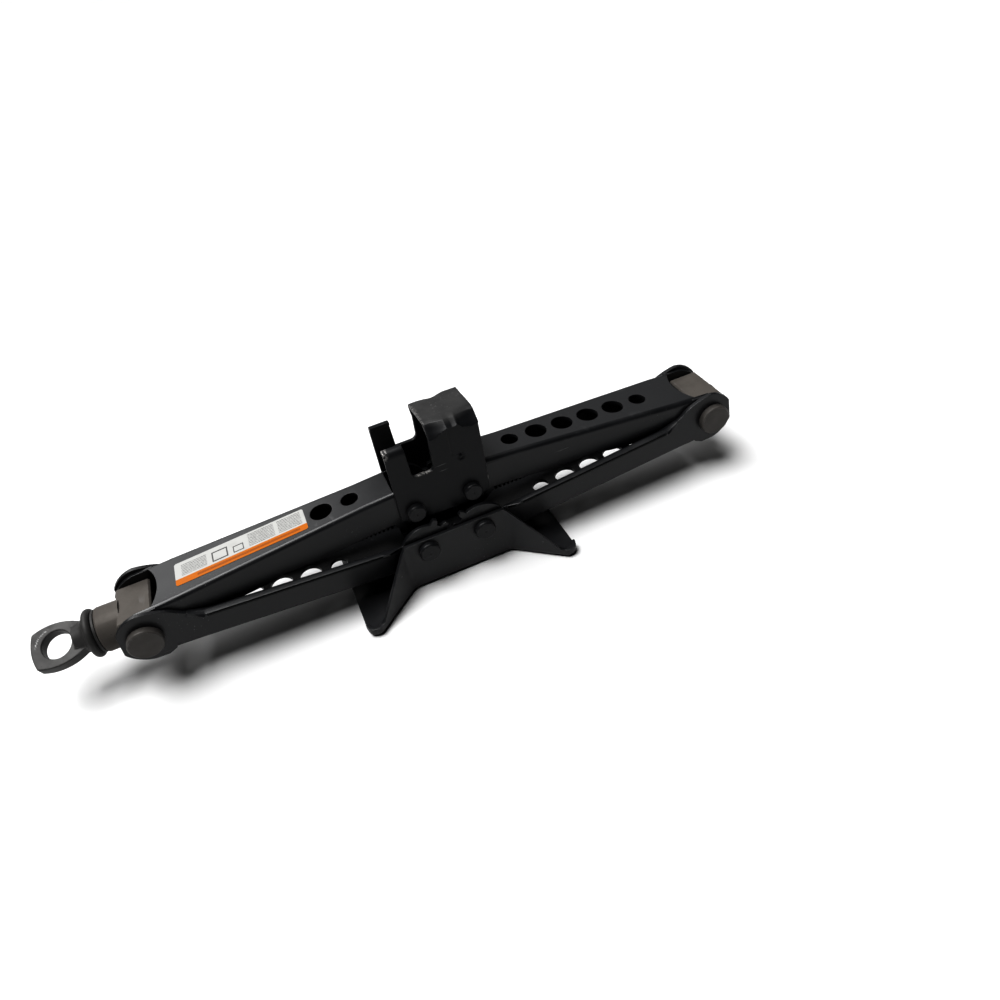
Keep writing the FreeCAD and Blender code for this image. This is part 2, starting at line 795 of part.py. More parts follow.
def make_forged_eye(doc, dims):
    """Forging on the screw's end, along -X: a thrust collar, a short cone and a flat eye."""
    body = new_body(doc, "forged_eye")
    shoulder = -dims.screw_shoulder
    collar_back = shoulder - dims.collar_width
    round_edge = dims.collar_width * 0.5
    eye_start = -dims.eye_centre + 10
    socket_end = shoulder - dims.spigot_length - 0.2
    section = new_sketch(body, "XZ_Plane")
    outline(section, [
        (shoulder, dims.spigot),
        (shoulder, dims.collar - round_edge),
        (shoulder - round_edge, dims.collar),
        (collar_back, dims.collar - round_edge),
        (collar_back, 11.4),
        (collar_back - 2.4, 9.6),
        (eye_start, 8.3),
        (eye_start, 0),
        (socket_end, 0),
        (socket_end, dims.spigot),
    ], arcs={1: -round_edge, 2: -round_edge})
    revolve(body, section, "X_Axis")
    eye = new_sketch(body, "XY_Plane")
    flank = -dims.eye_centre + 14.5
    end = -dims.eye_centre - 13
    outline(eye, [
        (collar_back - 0.5, -9.0),
        (collar_back - 0.5, 9.0),
        (flank, 9.6),
        (end, 11.5),
        (end, -11.5),
        (flank, -9.6),
    ], arcs={2: -30.5, 3: -34.0, 4: -30.5})
    pad(body, eye, dims.eye_thickness, both=True)
    hole = new_sketch(body, "XY_Plane")
    circle(hole, -dims.eye_centre, 0, dims.eye_hole)
    pocket(body, hole, 2 * FAR, both=True)
    return body


def make_ring(doc, dims, label, outside, inside, width, edge):
    """Plain ring about X, starting at the origin and running towards +X."""
    body = new_body(doc, label)
    ring = new_sketch(body, "YZ_Plane")
    circle(ring, 0, 0, outside)
    circle(ring, 0, 0, inside)
    pad(body, ring, width)
    soften(body, edge, lambda item: all_points(item, lambda p: math.hypot(p.y, p.z) > outside.value - 0.01)
           and item.Length > outside.value, "Chamfer")
    return body


def make_stop_collar(doc, dims):
    """Ring pinned on the screw's far end, with the hole for its cross pin."""
    body = make_ring(doc, dims, "stop_collar", dims.stop, dims.rod, dims.stop_width, 0.5)
    hole = new_sketch(body, "XY_Plane")
    circle(hole, dims.stop_width * 0.5, 0, dims.stop_pin)
    pocket(body, hole, 2 * FAR, both=True)
    return body


def make_stop_pin(doc, dims):
    """Cross pin through the stop collar and the screw, along Z."""
    pin = doc.addObject("Part::Cylinder", "stop_pin")
    pin.Label = "stop_pin"
    bind(pin, "Radius", dims.stop_pin)
    bind(pin, "Height", 2 * dims.stop - 0.4)
    return pin


def make_label(doc, dims):
    """Sticker on the outer face of an upper arm's web, with rounded corners."""
    body = new_body(doc, "warning_label")
    sheet = new_sketch(body, "XY_Plane", offset=-dims.upper_drop)
    half = dims.label_half_width
    rectangle(sheet, dims.label_start, -half, dims.label_start + dims.label_length, half)
    pad(body, sheet, dims.label_thickness, backwards=True)
    soften(body, 1.6, is_upright)
    return body


def assemble(doc, dims):
    """Make every sub-part and put it in its place in the collapsed jack."""
    x_axis = Vector(1, 0, 0)
    y_axis = Vector(0, 1, 0)
    z_axis = Vector(0, 0, 1)
    upright = Rotation()
    about_face = Rotation(z_axis, 180)
    upside_down = Rotation(x_axis, 180)
    tilt = DIMENSIONS["arm_tilt"]
    pin_x = dims.pin_offset.value
    low = dims.base_pin_height.value
    high = dims.saddle_pin_height.value
    middle = dims.trunnion_height.value
    trunnion_x = dims.trunnion_span.value / 2
    parts = []

    def put(piece, x, z, rotation=upright, y=0.0):
        piece.Placement = Placement(Vector(x, y, z), rotation)
        parts.append(piece)

    put(make_base_plate(doc, dims), 0, 0)
    put(make_saddle(doc, dims), 0, 0)
    for name, side, phase, turn in (("left", -1, 0.5, about_face), ("right", 1, 0.0, upright)):
        hole_start = dims.lower_hole_start
        if name == "left":
            hole_start = hole_start + dims.left_hole_shift
        lower = make_arm(doc, dims, "lower_arm_" + name, "lower", phase, hole_start)
        put(lower, side * pin_x, low, Rotation(y_axis, -side * tilt) * turn)
        upper = make_arm(doc, dims, "upper_arm_" + name, "upper", phase, dims.upper_hole_start)
        upper_turn = Rotation(y_axis, side * tilt) * turn * upside_down
        put(upper, side * pin_x, high, upper_turn)
        if name == "left":
            put(make_label(doc, dims), side * pin_x, high, upper_turn)
        for kind, height in (("base", low), ("saddle", high)):
            shank = getattr(dims, kind + "_pin")
            grip = getattr(dims, kind + "_half_width")
            head = getattr(dims, kind + "_head")
            head_width = getattr(dims, kind + "_head_width")
            rivet = make_rivet(doc, dims, f"{kind}_rivet_{name}", shank, grip, head, head_width)
            put(rivet, side * pin_x, height)

    rod_bore = dims.rod + dims.rod_clearance
    bearing = make_trunnion(doc, dims, "bearing_trunnion", dims.bush, True)
    put(bearing, -trunnion_x, middle, about_face)
    put(make_trunnion(doc, dims, "nut_trunnion", rod_bore, False), trunnion_x, middle)
    for block, side in (("bearing", -1), ("nut", 1)):
        put(make_stub_pin(doc, dims, f"{block}_pin_near"), side * trunnion_x, middle)
        put(make_stub_pin(doc, dims, f"{block}_pin_far"), side * trunnion_x, middle, about_face)

    bush = make_ring(doc, dims, "bearing_bush", dims.bush, rod_bore, 20, 0.4)
    neck_end = dims.block_outer.value + dims.neck_length.value
    put(bush, -trunnion_x - neck_end + 0.2, middle)
    washer_bore = dims.rod + 0.3
    washer = make_ring(doc, dims, "thrust_washer", dims.washer, washer_bore, dims.washer_width, 0.3)
    put(washer, -trunnion_x - dims.washer_start.value - dims.washer_width.value, middle)
    screw_turn = Rotation(x_axis, dims.eye_tilt.value)
    put(make_screw(doc, dims), -trunnion_x, middle, screw_turn)
    put(make_forged_eye(doc, dims), -trunnion_x, middle, screw_turn)
    put(make_stop_collar(doc, dims), trunnion_x + dims.stop_start.value, middle, screw_turn)
    pin_length = 2 * dims.stop.value - 0.4
    pin_base = screw_turn.multVec(Vector(0, 0, -pin_length / 2))
    stop_x = trunnion_x + dims.stop_middle.value
    put(make_stop_pin(doc, dims), stop_x, middle + pin_base.z, screw_turn, pin_base.y)
    return parts


def write_parts(doc, parts):
    """Check every object and write each sub-part to its own STEP file."""
    doc.recompute()
    for item in doc.Objects:
        if "Invalid" in item.State or "Error" in item.State:
            raise RuntimeError(f"{item.Label} has failed: {item.State}")
    os.makedirs("parts", exist_ok=True)
    for piece in parts:
        shape = piece.Shape
        if shape.isNull() or not shape.isValid():
            raise RuntimeError(f"{piece.Label} has no valid shape")
        print(f"{piece.Label}: {len(shape.Solids)} solid, {shape.Volume:.0f} mm3")
        shape.exportStep(f"parts/{piece.Label}.step")


document = FreeCAD.newDocument("scissor_jack")
sheet = Sheet(document, add_derived(DIMENSIONS))
write_parts(document, assemble(document, sheet))
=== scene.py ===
import json
import math

import bmesh
import bpy
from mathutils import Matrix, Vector, noise
from mathutils.bvhtree import BVHTree


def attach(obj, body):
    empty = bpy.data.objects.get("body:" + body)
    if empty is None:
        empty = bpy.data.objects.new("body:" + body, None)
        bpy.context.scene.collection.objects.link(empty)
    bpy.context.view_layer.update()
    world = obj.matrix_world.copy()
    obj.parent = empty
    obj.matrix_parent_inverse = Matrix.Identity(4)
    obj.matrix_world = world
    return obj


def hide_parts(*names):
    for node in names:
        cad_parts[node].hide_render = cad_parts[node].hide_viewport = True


# Scissor jack, collapsed. Metres, +X along the screw from the eye to the nut, +Z up.

MM = 0.001
PIN_X = 19.5 * MM            # base and saddle pins, from the middle
BASE_PIN_Z = 29.5 * MM
TRUNNION_X = 197.543 * MM
TRUNNION_Z = 42.262 * MM
SADDLE_PIN_Z = 55.025 * MM
ARM_TILT = math.radians(4.1)

# Lifting screw
ROD = 7.0 * MM               # outside of the thread
THREAD_ROOT = 5.5 * MM
THREAD_PITCH = 3.0 * MM
THREAD_LEFT = -TRUNNION_X + 8 * MM
THREAD_RIGHT = TRUNNION_X + 14 * MM
JOURNAL_END = 9 * MM - TRUNNION_X
TAIL_START = TRUNNION_X + 13.5 * MM

# Forged eye
EYE_CENTRE = 51.0 * MM       # beyond the trunnion pin
EYE_TILT = math.radians(25)
SCRAPE_RADIUS = 11.2         # mm, ring that the crank's hook has rubbed bright

# Lips of the lower arms
LIP_FACE = 25.2 * MM         # they reach beyond this
LIP_ROLL = 1.05 * MM         # radius of their rolled edges
LIP_LEVEL = 25.4 * MM        # they slope up inside this and down outside it
LIP_SLOPE = 0.48
LIP_RISE = 1.2 * MM          # the most that they slope up

# Label
LABEL_START = 65.0 * MM      # beyond the saddle pin
LABEL_LENGTH = 85.0 * MM
LABEL_HALF_WIDTH = 10.3 * MM

# Clean-up of the CAD meshes
WELD = 2e-6                  # points closer than this are one point
FLAT = math.radians(0.4)     # faces that meet flatter than this are one face
SHARP = math.radians(28)     # edges sharper than this are rounded off
EDGE = 0.35 * MM             # usual width of a rounded edge

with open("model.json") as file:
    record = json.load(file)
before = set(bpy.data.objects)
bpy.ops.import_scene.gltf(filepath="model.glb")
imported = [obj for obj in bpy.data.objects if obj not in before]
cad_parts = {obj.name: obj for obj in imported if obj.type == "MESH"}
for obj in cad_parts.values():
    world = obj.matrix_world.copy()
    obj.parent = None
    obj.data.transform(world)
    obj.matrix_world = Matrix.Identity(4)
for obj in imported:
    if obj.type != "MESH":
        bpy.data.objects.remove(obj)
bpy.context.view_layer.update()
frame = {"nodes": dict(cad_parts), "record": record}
node_body = {node: body for body, nodes in frame["record"]["behaviour"]["bodies"].items()
             for node in nodes}
node_slot = {part["node"]: part["material_slot"] for part in frame["record"]["subparts"]}


# ---------------------------------------------------------------- materials

class Finish:
    """One material's node tree. Textures are placed in the object's own space, in metres."""

    def __init__(self, name):
        self.material = bpy.data.materials.new(name)
        self.material.use_nodes = True
        self.tree = self.material.node_tree
        self.shader = self.tree.nodes["Principled BSDF"]
        self.place = self.add("ShaderNodeTexCoord").outputs["Object"]

    def add(self, kind, inputs=None, **settings):
        node = self.tree.nodes.new(kind)
        for name, value in settings.items():
            setattr(node, name, value)
        for name, value in (inputs or {}).items():
            self.feed(node.inputs[name], value)
        return node

    def feed(self, socket, value):
        if isinstance(value, bpy.types.NodeSocket):
            self.tree.links.new(value, socket)
        else:
            socket.default_value = value

    def set(self, **values):
        """Feed the shader's sockets; underscores stand for spaces."""
        for name, value in values.items():
            self.feed(self.shader.inputs[name.replace("_", " ")], value)

    def noise(self, scale, detail=3.0, roughness=0.55, stretch=None, seed=0.0):
        place = self.place
        if stretch or seed:
            place = self.add("ShaderNodeMapping", {
                "Vector": place,
                "Scale": stretch or (1.0, 1.0, 1.0),
                "Location": (seed, seed * 1.7, -seed),
            }).outputs["Vector"]
        node = self.add("ShaderNodeTexNoise", {
            "Vector": place, "Scale": scale, "Detail": detail, "Roughness": roughness})
        return node.outputs["Fac"]

    def ramp(self, value, low, high, bottom=0.0, top=1.0):
        """Map low..high smoothly onto bottom..top."""
        node = self.add("ShaderNodeMapRange", {
            "Value": value, "From Min": low, "From Max": high, "To Min": bottom, "To Max": top},
            interpolation_type="SMOOTHSTEP")
        return node.outputs["Result"]

    def patches(self, levels, **texture):
        """Soft patches of noise: 0 under the first level, 1 over the second."""
        return self.ramp(self.noise(**texture), *levels)

    def math(self, operation, a, b):
        node = self.add("ShaderNodeMath", operation=operation)
        self.feed(node.inputs[0], a)
        self.feed(node.inputs[1], b)
        return node.outputs["Value"]

    def times(self, a, b):
        return self.math("MULTIPLY", a, b)

    def largest(self, a, b):
        return self.math("MAXIMUM", a, b)

    def mix(self, factor, a, b):
        """Blend two colours."""
        node = self.add("ShaderNodeMix", data_type="RGBA")
        self.feed(node.inputs[0], factor)
        self.feed(node.inputs[6], a)
        self.feed(node.inputs[7], b)
        return node.outputs[2]

    def over(self, colour, where, strength, coat):
        """Lay a coat over a colour."""
        return self.mix(self.times(where, strength), colour, coat)

    def blend(self, factor, a, b):
        """Blend two numbers."""
        node = self.add("ShaderNodeMix", data_type="FLOAT")
        self.feed(node.inputs[0], factor)
        self.feed(node.inputs[2], a)
        self.feed(node.inputs[3], b)
        return node.outputs[0]

    def bump(self, *layers):
        """Stack bump layers, each a height, a strength and a distance in metres."""
        normal = None
        for height, strength, distance in layers:
            inputs = {"Height": height, "Strength": strength, "Distance": distance}
            if normal is not None:
                inputs["Normal"] = normal
            normal = self.add("ShaderNodeBump", inputs).outputs["Normal"]
        self.feed(self.shader.inputs["Normal"], normal)

    def attribute(self, name):
        return self.add("ShaderNodeAttribute", attribute_name=name).outputs["Fac"]

    def zone(self, centre, size, core=0.55):
        """A soft patch on the surface: 1 in an ellipsoid's core, falling to 0 at its surface."""
        value = self.place
        for operation, other in (("SUBTRACT", centre), ("DIVIDE", size)):
            node = self.add("ShaderNodeVectorMath", operation=operation)
            self.feed(node.inputs[0], value)
            self.feed(node.inputs[1], other)
            value = node.outputs["Vector"]
        length = self.add("ShaderNodeVectorMath", operation="LENGTH")
        self.feed(length.inputs[0], value)
        return self.ramp(length.outputs["Value"], core, 1.0, 1.0, 0.0)


def grey(value, warm=0.0):
    return (value * (1 + warm), value, value * (1 - warm), 1.0)


PAINT_DEEP = (0.0080, 0.0085, 0.0098, 1)
PAINT_LIGHT = (0.0120, 0.0125, 0.0140, 1)
PAINT_THIN = grey(0.09, 0.03)
DUST_FILM = grey(0.055, 0.01)
DUST_SPECK = grey(0.20)
SCRATCH = grey(0.24)
BARE_STEEL = grey(0.30, 0.03)
SCRAPED_STEEL = grey(0.6)
# Painted shade, laid on the faces under the lower arms' lips.
PAINTED_SHADE_BLACK = grey(0.002)         # under a lip, where no light gets in
LABEL_WHITE = (0.40, 0.40, 0.39, 1)
LABEL_ORANGE = (0.40, 0.125, 0.002, 1)
LABEL_STRIPE = (0.14, 0.035, 0.002, 1)
LABEL_GRIME = grey(0.22, 0.05)


def black_paint(name, roughness, gloss, wear=0.3, scuffs=(), worn=(), dusty=()):
    """Satin black paint over pressed steel, thin along the edges, with dust and fine scratches.

    Scuffs (streaks) and worn (bare metal) are zones given by a centre, a size and a strength, and
    dusty is zones given by a centre and a size. The mesh marks its rounded edges as "edge", and
    the faces that get painted shade, black and without reflection, as "shade".
    """
    finish = Finish(name)
    blotch = finish.patches((0.35, 0.70), scale=34, detail=4)
    thin = finish.patches((0.50, 0.64), scale=260, detail=5, roughness=0.7)
    rubbed = finish.times(finish.attribute("edge"), thin)

    chipped = finish.patches((0.44, 0.58), scale=620, detail=4, roughness=0.7)
    bare = 0.0
    for centre, size, strength in worn:
        patch = finish.times(finish.zone(centre, size), finish.times(chipped, strength))
        bare = finish.largest(bare, patch)

    specks = finish.patches((0.70, 0.75), scale=900, detail=1, seed=3.1)
    dust = finish.times(specks, finish.patches((0.50, 0.68), scale=18, detail=2, seed=5.0))

    scratch = finish.patches((0.69, 0.73), scale=620, detail=2, roughness=0.5,
                             stretch=(0.05, 1.0, 1.0), seed=1.3)
    marks = finish.times(scratch, finish.patches((0.58, 0.66), scale=26, detail=2, seed=2.2))
    for centre, size, strength in scuffs:
        streaks = finish.patches((0.55, 0.62), scale=300, detail=3, roughness=0.6,
                                 stretch=(0.35, 0.12, 1.0), seed=6.1)
        patch = finish.times(finish.zone(centre, size), streaks)
        marks = finish.largest(marks, finish.times(patch, strength))

    colour = finish.mix(blotch, PAINT_DEEP, PAINT_LIGHT)
    for centre, size in dusty:
        film = finish.times(finish.zone(centre, size), finish.blend(blotch, 0.6, 1.0))
        colour = finish.mix(film, colour, DUST_FILM)
    colour = finish.over(colour, dust, 0.45, DUST_SPECK)
    colour = finish.over(colour, marks, 0.30, SCRATCH)
    colour = finish.over(colour, rubbed, wear, PAINT_THIN)
    colour = finish.mix(bare, colour, BARE_STEEL)
    # Painted shade: faces marked "shade" turn near black.
    colour = finish.mix(finish.attribute("shade"), colour, PAINTED_SHADE_BLACK)

    satin = finish.blend(blotch, roughness - 0.03, roughness + 0.04)
    satin = finish.math("ADD", satin, finish.times(dust, 0.2))
    metal = finish.largest(finish.times(rubbed, 0.4 * wear), finish.times(bare, 0.7))
    # Painted shade: these faces are also fully metallic, so with their black colour they reflect
    # nothing.
    metal = finish.largest(metal, finish.attribute("shade"))
    finish.set(Base_Color=colour, Roughness=satin, Metallic=metal, Specular_IOR_Level=gloss)
    rolled = finish.noise(scale=75, detail=3)
    fine = finish.noise(scale=900, detail=2)
    finish.bump((rolled, 0.10, 0.0006), (fine, 0.10, 0.00006))
    return finish.material


def phosphated_steel(name, dark, light, roughness, metallic, warm, gloss):
    """Grey phosphated or oiled steel, faintly mottled, finely grained and rubbed at its edges.

    The mesh marks its rounded edges as "edge", and bright scraped metal as "worn".
    """
    finish = Finish(name)
    mottle = finish.patches((0.34, 0.68), scale=60, detail=4, roughness=0.6)
    grain = finish.noise(scale=1500, detail=3, roughness=0.6)
    pits = finish.patches((0.68, 0.74), scale=620, detail=2, seed=4.0)
    handled = finish.patches((0.42, 0.62), scale=240, detail=4, roughness=0.7)
    rubbed = finish.times(finish.attribute("edge"), handled)
    scraped = finish.patches((0.40, 0.55), scale=700, detail=3)
    bare = finish.times(finish.attribute("worn"), scraped)
    streak = finish.patches((0.67, 0.71), scale=420, detail=2, roughness=0.5,
                            stretch=(0.35, 0.05, 0.35), seed=2.3)
    scratch = finish.times(streak, finish.patches((0.50, 0.65), scale=40, detail=2, seed=7.0))

    colour = finish.mix(mottle, grey(dark, warm), grey(light, warm))
    colour = finish.over(colour, grain, 0.25, grey(dark * 0.75, warm))
    colour = finish.over(colour, pits, 0.4, grey(dark * 0.4, warm))
    colour = finish.over(colour, scratch, 0.35, grey(light * 2.5))
    colour = finish.over(colour, rubbed, 0.5, grey(light * 1.7, warm * 0.6))
    colour = finish.mix(bare, colour, SCRAPED_STEEL)
    finish.set(Base_Color=colour, Metallic=metallic, Specular_IOR_Level=gloss,
               Roughness=finish.blend(mottle, roughness + 0.04, roughness - 0.04))
    finish.bump((grain, 0.18, 0.00006), (pits, -0.25, 0.00006))
    return finish.material


def thread_steel(name):
    """Rolled thread under a film of grease that is darkest in the roots. Its near-black colour,
    low gloss and darker roots are partly grease and partly painted shade.
    """
    finish = Finish(name)
    root = finish.attribute("root")
    grease = finish.patches((0.40, 0.65), scale=70, detail=4)
    # Grease patches, and the roots darkened by grease and by painted shade.
    grease_and_shade = finish.largest(finish.times(root, 0.85), finish.times(grease, 0.45))
    finish.set(Base_Color=finish.mix(grease_and_shade, grey(0.014, 0.05), grey(0.006, 0.1)), Metallic=0.3,
               Roughness=finish.blend(grease_and_shade, 0.4, 0.5), Specular_IOR_Level=0.12)
    finish.bump((finish.noise(scale=900, detail=2), 0.12, 0.00005))
    return finish.material


def bronze(name):
    finish = Finish(name)
    patch = finish.patches((0.40, 0.65), scale=160, detail=3)
    colour = finish.mix(patch, (0.42, 0.29, 0.12, 1), (0.30, 0.20, 0.09, 1))
    finish.set(Base_Color=colour, Metallic=0.9, Roughness=finish.blend(patch, 0.3, 0.48))
    finish.bump((finish.noise(scale=1200, detail=2), 0.15, 0.00005))
    return finish.material


def label_film(name):
    """White film with an orange band along one edge and plain grey bars, laid out on the UV map.

    Places are shares of the label's length and width: left, right, bottom, top.
    """
    text_blocks = ((0.05, 0.24, 0.36, 0.86), (0.56, 0.76, 0.34, 0.92), (0.79, 0.97, 0.34, 0.92))
    borders = (((0.28, 0.40, 0.36, 0.80), (0.29, 0.39, 0.41, 0.75)),
               ((0.44, 0.52, 0.36, 0.66), (0.447, 0.513, 0.40, 0.62)))
    band_top = 0.27
    stripe = (0.16, 0.94, 0.09, 0.19)
    lines = 15.0             # of text, over the label's whole width

    finish = Finish(name)
    uv = finish.add("ShaderNodeUVMap").outputs["UV"]
    parts = finish.add("ShaderNodeSeparateXYZ", {"Vector": uv})
    along = parts.outputs["X"]
    across = parts.outputs["Y"]

    def between(value, low, high):
        above = finish.math("GREATER_THAN", value, low)
        return finish.times(above, finish.math("LESS_THAN", value, high))

    def inside(left, right, bottom, top):
        return finish.times(between(along, left, right), between(across, bottom, top))

    rows = finish.math("FRACT", finish.times(across, lines), 0.0)
    stretched = finish.add("ShaderNodeMapping", {"Vector": uv, "Scale": (1.0, lines, 1.0)})
    ragged = finish.add("ShaderNodeTexNoise", {
        "Vector": stretched.outputs["Vector"], "Scale": 34.0, "Detail": 1.0}).outputs["Fac"]
    bars = finish.times(between(rows, 0.25, 0.7), finish.math("GREATER_THAN", ragged, 0.45))
    text = 0.0
    for block in text_blocks:
        text = finish.largest(text, finish.times(bars, inside(*block)))
    drawn = 0.0
    for outside, hollow in borders:
        border = finish.times(inside(*outside), finish.math("SUBTRACT", 1.0, inside(*hollow)))
        drawn = finish.largest(drawn, border)
    stripes = finish.times(inside(*stripe), finish.math("GREATER_THAN", ragged, 0.40))
    grime = finish.patches((0.50, 0.75), scale=120, detail=4)

    colour = finish.mix(between(across, -1.0, band_top), LABEL_WHITE, LABEL_ORANGE)
    colour = finish.over(colour, text, 0.9, grey(0.07))
    colour = finish.over(colour, drawn, 0.9, grey(0.05))
    colour = finish.over(colour, stripes, 0.6, LABEL_STRIPE)
    colour = finish.over(colour, grime, 0.12, LABEL_GRIME)
    finish.set(Base_Color=colour, Roughness=finish.blend(grime, 0.4, 0.55),
               Specular_IOR_Level=0.12)
    finish.bump((finish.noise(scale=500, detail=2), 0.05, 0.00005))
    return finish.material


def floor_paint(name):
    finish = Finish(name)
    tone = finish.patches((0.30, 0.70), scale=4, detail=2)
    finish.set(Base_Color=finish.mix(tone, grey(0.62), grey(0.64)), Roughness=0.9,
               Specular_IOR_Level=0.15)
    finish.bump((finish.noise(scale=400, detail=2), 0.05, 0.0001))
    return finish.material


# ---------------------------------------------------------------- pieces

def show(piece, body, slot, material, *nodes):
    """Put a new piece in the scene, on its body, in place of CAD nodes."""
    bpy.context.scene.collection.objects.link(piece)
    piece.data.materials.clear()
    piece.data.materials.append(material)
    even = piece.modifiers.new("even_shading", "WEIGHTED_NORMAL")
    even.keep_sharp = True
    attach(piece, body)
    if nodes:
        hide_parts(*nodes)
    return piece


def smooth(mesh, angle=32):
    """Smooth shading, except across edges sharper than the angle."""
    mesh.shade_smooth()
    mesh.set_sharp_from_angle(angle=math.radians(angle))


def cleaned(node):
    """A bmesh of a CAD node with its flat faces joined up again."""
    shape = bmesh.new()
    shape.from_mesh(frame["nodes"][node].data)
    bmesh.ops.remove_doubles(shape, verts=shape.verts, dist=WELD)
    bmesh.ops.dissolve_limit(shape, angle_limit=FLAT, verts=shape.verts, edges=shape.edges)
    return shape


def sharp_edges(shape, chosen=lambda edge: True):
    return [edge for edge in shape.edges
            if len(edge.link_faces) == 2 and edge.calc_face_angle(0.0) > SHARP and chosen(edge)]


def round_off(shape, edges, width, segments=2):
    """Bevel edges and mark the new faces, so that the paint is thin there."""
    edge_layer = shape.faces.layers.float.get("edge") or shape.faces.layers.float.new("edge")
    before = BVHTree.FromBMesh(shape)
    made = bmesh.ops.bevel(shape, geom=edges, offset=width, offset_type="OFFSET",
                           segments=segments, profile=0.5, affect="EDGES", clamp_overlap=False)
    for face in made["faces"]:
        face[edge_layer] = 1.0
    # Corners that were thrown off the piece by the bevel go back onto it.
    furthest = 0.45 * width
    for vert in shape.verts:
        place, _, _, distance = before.find_nearest(vert.co)
        if distance > furthest:
            vert.co = place


def finished(shape, name):
    """Turn a bmesh into a smoothly shaded mesh."""
    mesh = bpy.data.meshes.new(name)
    bmesh.ops.triangulate(shape, faces=[face for face in shape.faces if len(face.verts) > 4])
    shape.to_mesh(mesh)
    shape.free()
    smooth(mesh)
    return mesh


def put(node, shape, material):
    """Show a reworked shape in place of its CAD node."""
    name = node + "_finished"
    piece = bpy.data.objects.new(name, finished(shape, name))
    return show(piece, node_body[node], node_slot[node], material, node)


def step_up(value, low, high):
    """Smooth step from 0 below low to 1 above high."""
    share = min(1.0, max(0.0, (value - low) / (high - low)))
    return share * share * (3 - 2 * share)


def pressed(node, material, width=EDGE):
    """A CAD node with its sharp outer edges rounded off."""
    shape = cleaned(node)
    round_off(shape, sharp_edges(shape, lambda edge: edge.is_convex), width)
    put(node, shape, material)


def make_lower_arm(node, side, material):
    """A lower arm whose lips are rolled outwards: round, sloping a little, with painted shade
    underneath.
    """
    shape = cleaned(node)

    def on_lip(edge):
        first, second = (vert.co for vert in edge.verts)
        run = second - first
        lengthwise = run.length > 5 * MM and abs(run.x) > 0.9 * run.length
        return lengthwise and min(abs(first.y), abs(second.y)) > LIP_FACE

    round_off(shape, sharp_edges(shape, on_lip), LIP_ROLL, 4)
    edge_layer = shape.faces.layers.float["edge"]
    # The lips' lower rounded faces get painted shade: black, with no reflection.
    shade_layer = shape.faces.layers.float.new("shade")
    for face in shape.faces:
        if face[edge_layer] and face.normal.z < 0.4:
            face[shade_layer] = 1.0
        face[edge_layer] = 0.0
    round_off(shape, sharp_edges(shape), EDGE)
    for vert in shape.verts:
        # Where the point is along the line through the arm's pins, and how high above it.
        out = side * vert.co.x - PIN_X
        up = vert.co.z - BASE_PIN_Z
        along = out * math.cos(ARM_TILT) + up * math.sin(ARM_TILT)
        height = up * math.cos(ARM_TILT) - out * math.sin(ARM_TILT)
        share = (step_up(height / MM, 0.5, 4.4) * step_up(along / MM, 28, 45)
                 * step_up(-along / MM, -150, -136))
        vert.co.z += min(LIP_RISE, LIP_SLOPE * (LIP_LEVEL - abs(vert.co.y))) * share
    put(node, shape, material)


def along_line(line, x):
    """Height of a bent line, given by a few points, at x."""
    for (left, low), (right, high) in zip(line, line[1:]):
        if x <= right:
            return low + (high - low) * max(0.0, x - left) / (right - left)
    return line[-1][1]


def bisect(shape, place, normal, **settings):
    bmesh.ops.bisect_plane(shape, geom=shape.verts[:] + shape.edges[:] + shape.faces[:],
                           plane_co=place, plane_no=normal, **settings)


def slice_up(shape, axis, start, stop, spacing):
    """Cut a shape's faces into strips, so that it can be bent; millimetres."""
    normal = [0.0, 0.0, 0.0]
    normal[axis] = 1.0
    for number in range(int((stop - start) / spacing) + 1):
        place = [0.0, 0.0, 0.0]
        place[axis] = (start + number * spacing) * MM
        bisect(shape, place, normal, dist=1e-6)


# The saddle's horn, in millimetres.
# Lower edge of the near fold, where the sheet bulges over the plate (x, z).
FOLD_LINE = ((-2, 104.2), (3.6, 104.6), (8, 107.3), (12, 109.3), (15.5, 108.7), (19.3, 109.3),
             (21.5, 106.4), (26, 104.7), (29, 104.6), (33, 106.0))
CREASE = 12.1                # x of the crease down the near plate
PUNCH = (17.3, 83.9)         # x, z of the punch mark
HORN_TOP = 113.0
BULGE_FACE = 18.2            # 1 mm outside the plates, which leaves room for the bulge
FOLD = 4.0                   # fold radius that the sheet is drawn over
CROWN = 6.0                  # the sheet starts to slope this far in front of the middle
NICK_X = 15.5                # the bulge is weakest here


def folded_over(x, y, z):
    """The horn's top sheet, drawn down at the near side and bulging over the plate."""
    corner = BULGE_FACE - FOLD
    bend_z = HORN_TOP - FOLD
    before_bend = corner - CROWN
    whole_bend = before_bend + FOLD * math.pi / 2
    # Depth under the sheet's outside, and the way run along the sheet from the crown.
    if -y > corner and z > bend_z:
        depth = FOLD - math.hypot(-y - corner, z - bend_z)
        run = before_bend + FOLD * math.atan2(-y - corner, z - bend_z)
    elif -y > corner:
        depth = BULGE_FACE + y
        run = whole_bend + bend_z - z
    else:
        depth = HORN_TOP - z
        run = -y - CROWN
    edge = along_line(FOLD_LINE, x)
    if edge < bend_z:
        whole = whole_bend + bend_z - edge
    else:
        whole = before_bend + FOLD * math.acos((edge - bend_z) / FOLD)
    share = run / whole
    # The new sheet is a parabola from the crown down to the fold line.
    reach = BULGE_FACE - CROWN + 0.55 + 0.45 * step_up(abs(x - NICK_X), 3.5, 6.5)
    drop = HORN_TOP - edge
    slope = math.atan2(drop * 2.0 * min(1.0, share), reach)
    curved_y = -CROWN - reach * share + depth * math.sin(slope)
    curved_z = HORN_TOP - drop * share ** 2 - depth * math.cos(slope)
    under = step_up(share, 1.0, 1.03)
    return y * under + curved_y * (1 - under), z * under + curved_z * (1 - under)


